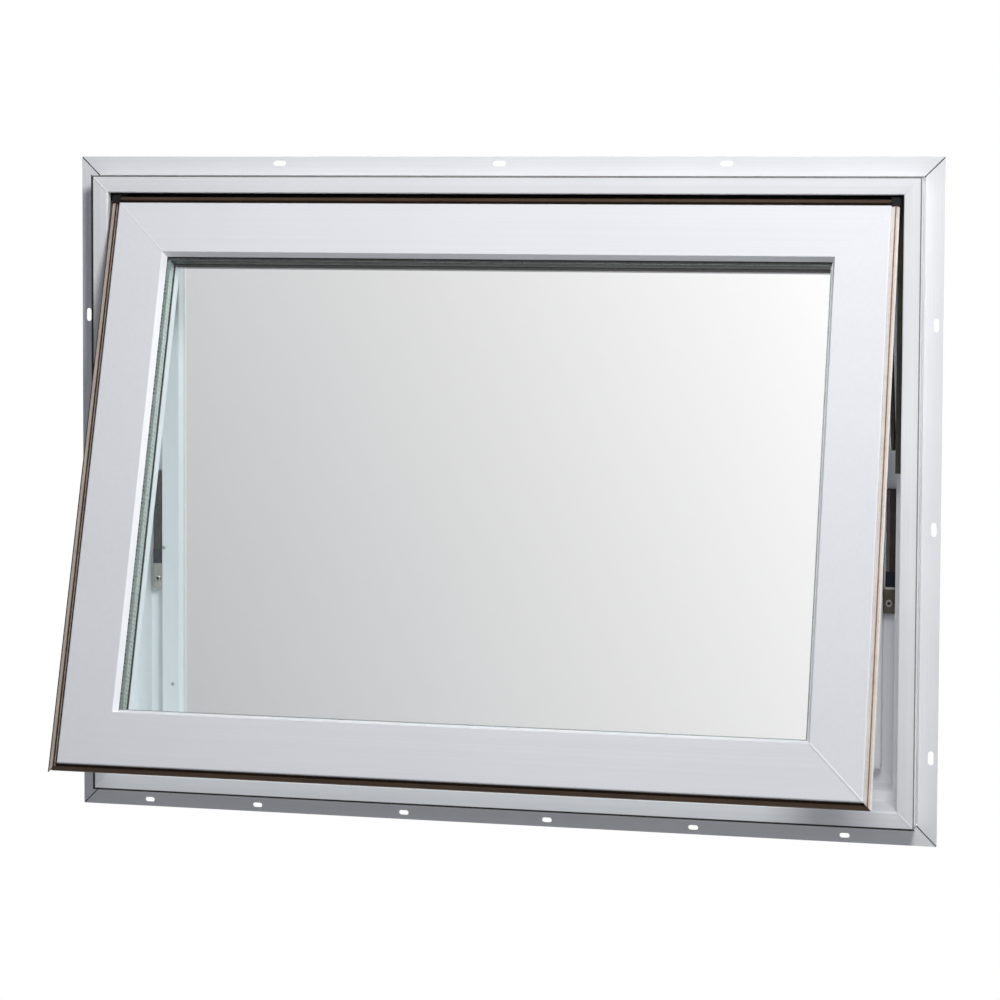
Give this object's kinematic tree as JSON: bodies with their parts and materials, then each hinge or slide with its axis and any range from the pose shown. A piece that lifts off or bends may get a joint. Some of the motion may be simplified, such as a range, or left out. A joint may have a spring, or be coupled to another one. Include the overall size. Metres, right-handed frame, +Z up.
{
  "type": "top hung awning window",
  "caption": "Top hung awning window: white vinyl frame with nailing fins, and a sealed glass sash that swings out at the bottom on sliding friction stays.",
  "frame": {"origin": "on the back face of the bottom nailing fin, mid width, on its nail line", "axes": "+X to the right seen from outdoors, +Y through the wall to the indoor side, +Z up"},
  "size_m": [0.8464, 0.2729, 0.6432],
  "materials": {
    "frame_vinyl": "satin",
    "fin_vinyl": "satin",
    "sash_vinyl": "satin",
    "tan_seal": "matt",
    "dark_seal": "matt",
    "clear_glass": "polished",
    "spacer": "satin",
    "stay_dark": "satin",
    "stay_steel": "brushed",
    "shoe_plastic": "matt"
  },
  "bodies": {
    "frame": {"frame_head": "frame_vinyl", "frame_sill": "frame_vinyl", "frame_jamb_left": "frame_vinyl", "frame_jamb_right": "frame_vinyl", "nail_fin_top": "fin_vinyl", "nail_fin_bottom": "fin_vinyl", "nail_fin_left": "fin_vinyl", "nail_fin_right": "fin_vinyl", "hinge_track_left": "stay_dark", "lock_bar_left": "stay_dark", "lock_end_left": "stay_steel", "hinge_track_right": "stay_dark", "lock_bar_right": "stay_dark", "lock_end_right": "stay_steel"},
    "stay_arms": {"support_arm_left": "stay_dark", "support_arm_right": "stay_dark"},
    "sash": {"sash_top_rail": "sash_vinyl", "sash_bottom_rail": "sash_vinyl", "sash_stile_left": "sash_vinyl", "sash_stile_right": "sash_vinyl", "sash_seal_top": "tan_seal", "sash_seal_bottom": "tan_seal", "sash_seal_left": "tan_seal", "sash_seal_right": "tan_seal", "glazing_bead_top": "sash_vinyl", "glazing_bead_bottom": "sash_vinyl", "glazing_bead_left": "sash_vinyl", "glazing_bead_right": "sash_vinyl", "outer_pane": "clear_glass", "inner_pane": "clear_glass", "spacer_bar": "spacer", "sash_arm_left": "stay_dark", "sash_arm_right": "stay_dark"},
    "stay_shoes": {"shoe_left": "shoe_plastic", "shoe_right": "shoe_plastic"}
  },
  "joints": [
    {"name": "arms_swing", "type": "hinge", "parent": "frame", "child": "stay_arms", "pos_m": [0, 0.0115, 0.37005], "axis": [1, 0, 0], "range_deg": [-18, 22]},
    {"name": "sash_swing", "type": "hinge", "parent": "stay_arms", "child": "sash", "pos_m": [0, -0.02064, 0.46896], "axis": [-1, 0, 0], "range_deg": [-36, 44]},
    {"name": "shoes_turn", "type": "hinge", "parent": "sash", "child": "stay_shoes", "pos_m": [0, 0.0115, 0.56787], "axis": [1, 0, 0], "range_deg": [-18, 22]}
  ],
  "couplings": [
    {"joint": "arms_swing", "follows": "sash_swing", "ratio": 0.5},
    {"joint": "shoes_turn", "follows": "sash_swing", "ratio": 0.5}
  ]
}
